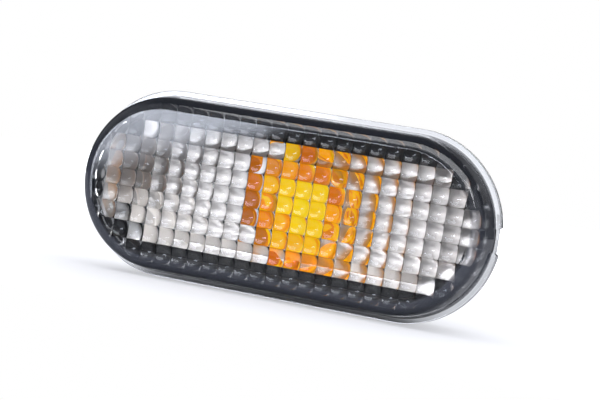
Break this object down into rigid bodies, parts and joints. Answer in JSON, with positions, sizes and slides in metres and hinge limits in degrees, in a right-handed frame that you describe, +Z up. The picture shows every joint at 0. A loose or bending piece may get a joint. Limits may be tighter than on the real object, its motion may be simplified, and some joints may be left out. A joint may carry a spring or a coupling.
{
  "type": "side repeater lamp",
  "caption": "Oval clip-in car side repeater lamp: clear lens with square pillow optics, black housing, bright reflector, amber bulb cap and twist-in bulb holder.",
  "frame": {"origin": "centre of the lamp on the outer face of the body panel that it clips into, which is the back face of its gasket", "axes": "+X along the lamp towards its sprung tongue, +Z up, lens facing -Y and bulb holder towards +Y, into the car"},
  "size_m": [0.0758, 0.0459, 0.0324],
  "materials": {
    "clear_acrylic": "polished, faintly smoked",
    "black_plastic": "satin moulded",
    "bright_metallising": "vacuum metallised",
    "amber_plastic": "polished, see-through",
    "black_foam": "closed-cell foam",
    "bulb_glass": "clear",
    "lead_wire": "drawn wire",
    "tungsten": "drawn wire",
    "black_nylon": "moulded",
    "seal_rubber": "soft",
    "tinned_brass": "tinned strip"
  },
  "bodies": {
    "root": {"lens": "clear_acrylic", "housing": "black_plastic", "reflector": "bright_metallising", "amber_cap": "amber_plastic", "gasket": "black_foam", "bulb_glass": "bulb_glass", "bulb_lead_left": "lead_wire", "bulb_lead_right": "lead_wire", "bulb_filament": "tungsten", "bulb_holder": "black_nylon", "holder_seal": "seal_rubber", "terminal_left": "tinned_brass", "terminal_right": "tinned_brass"}
  },
  "joints": []
}
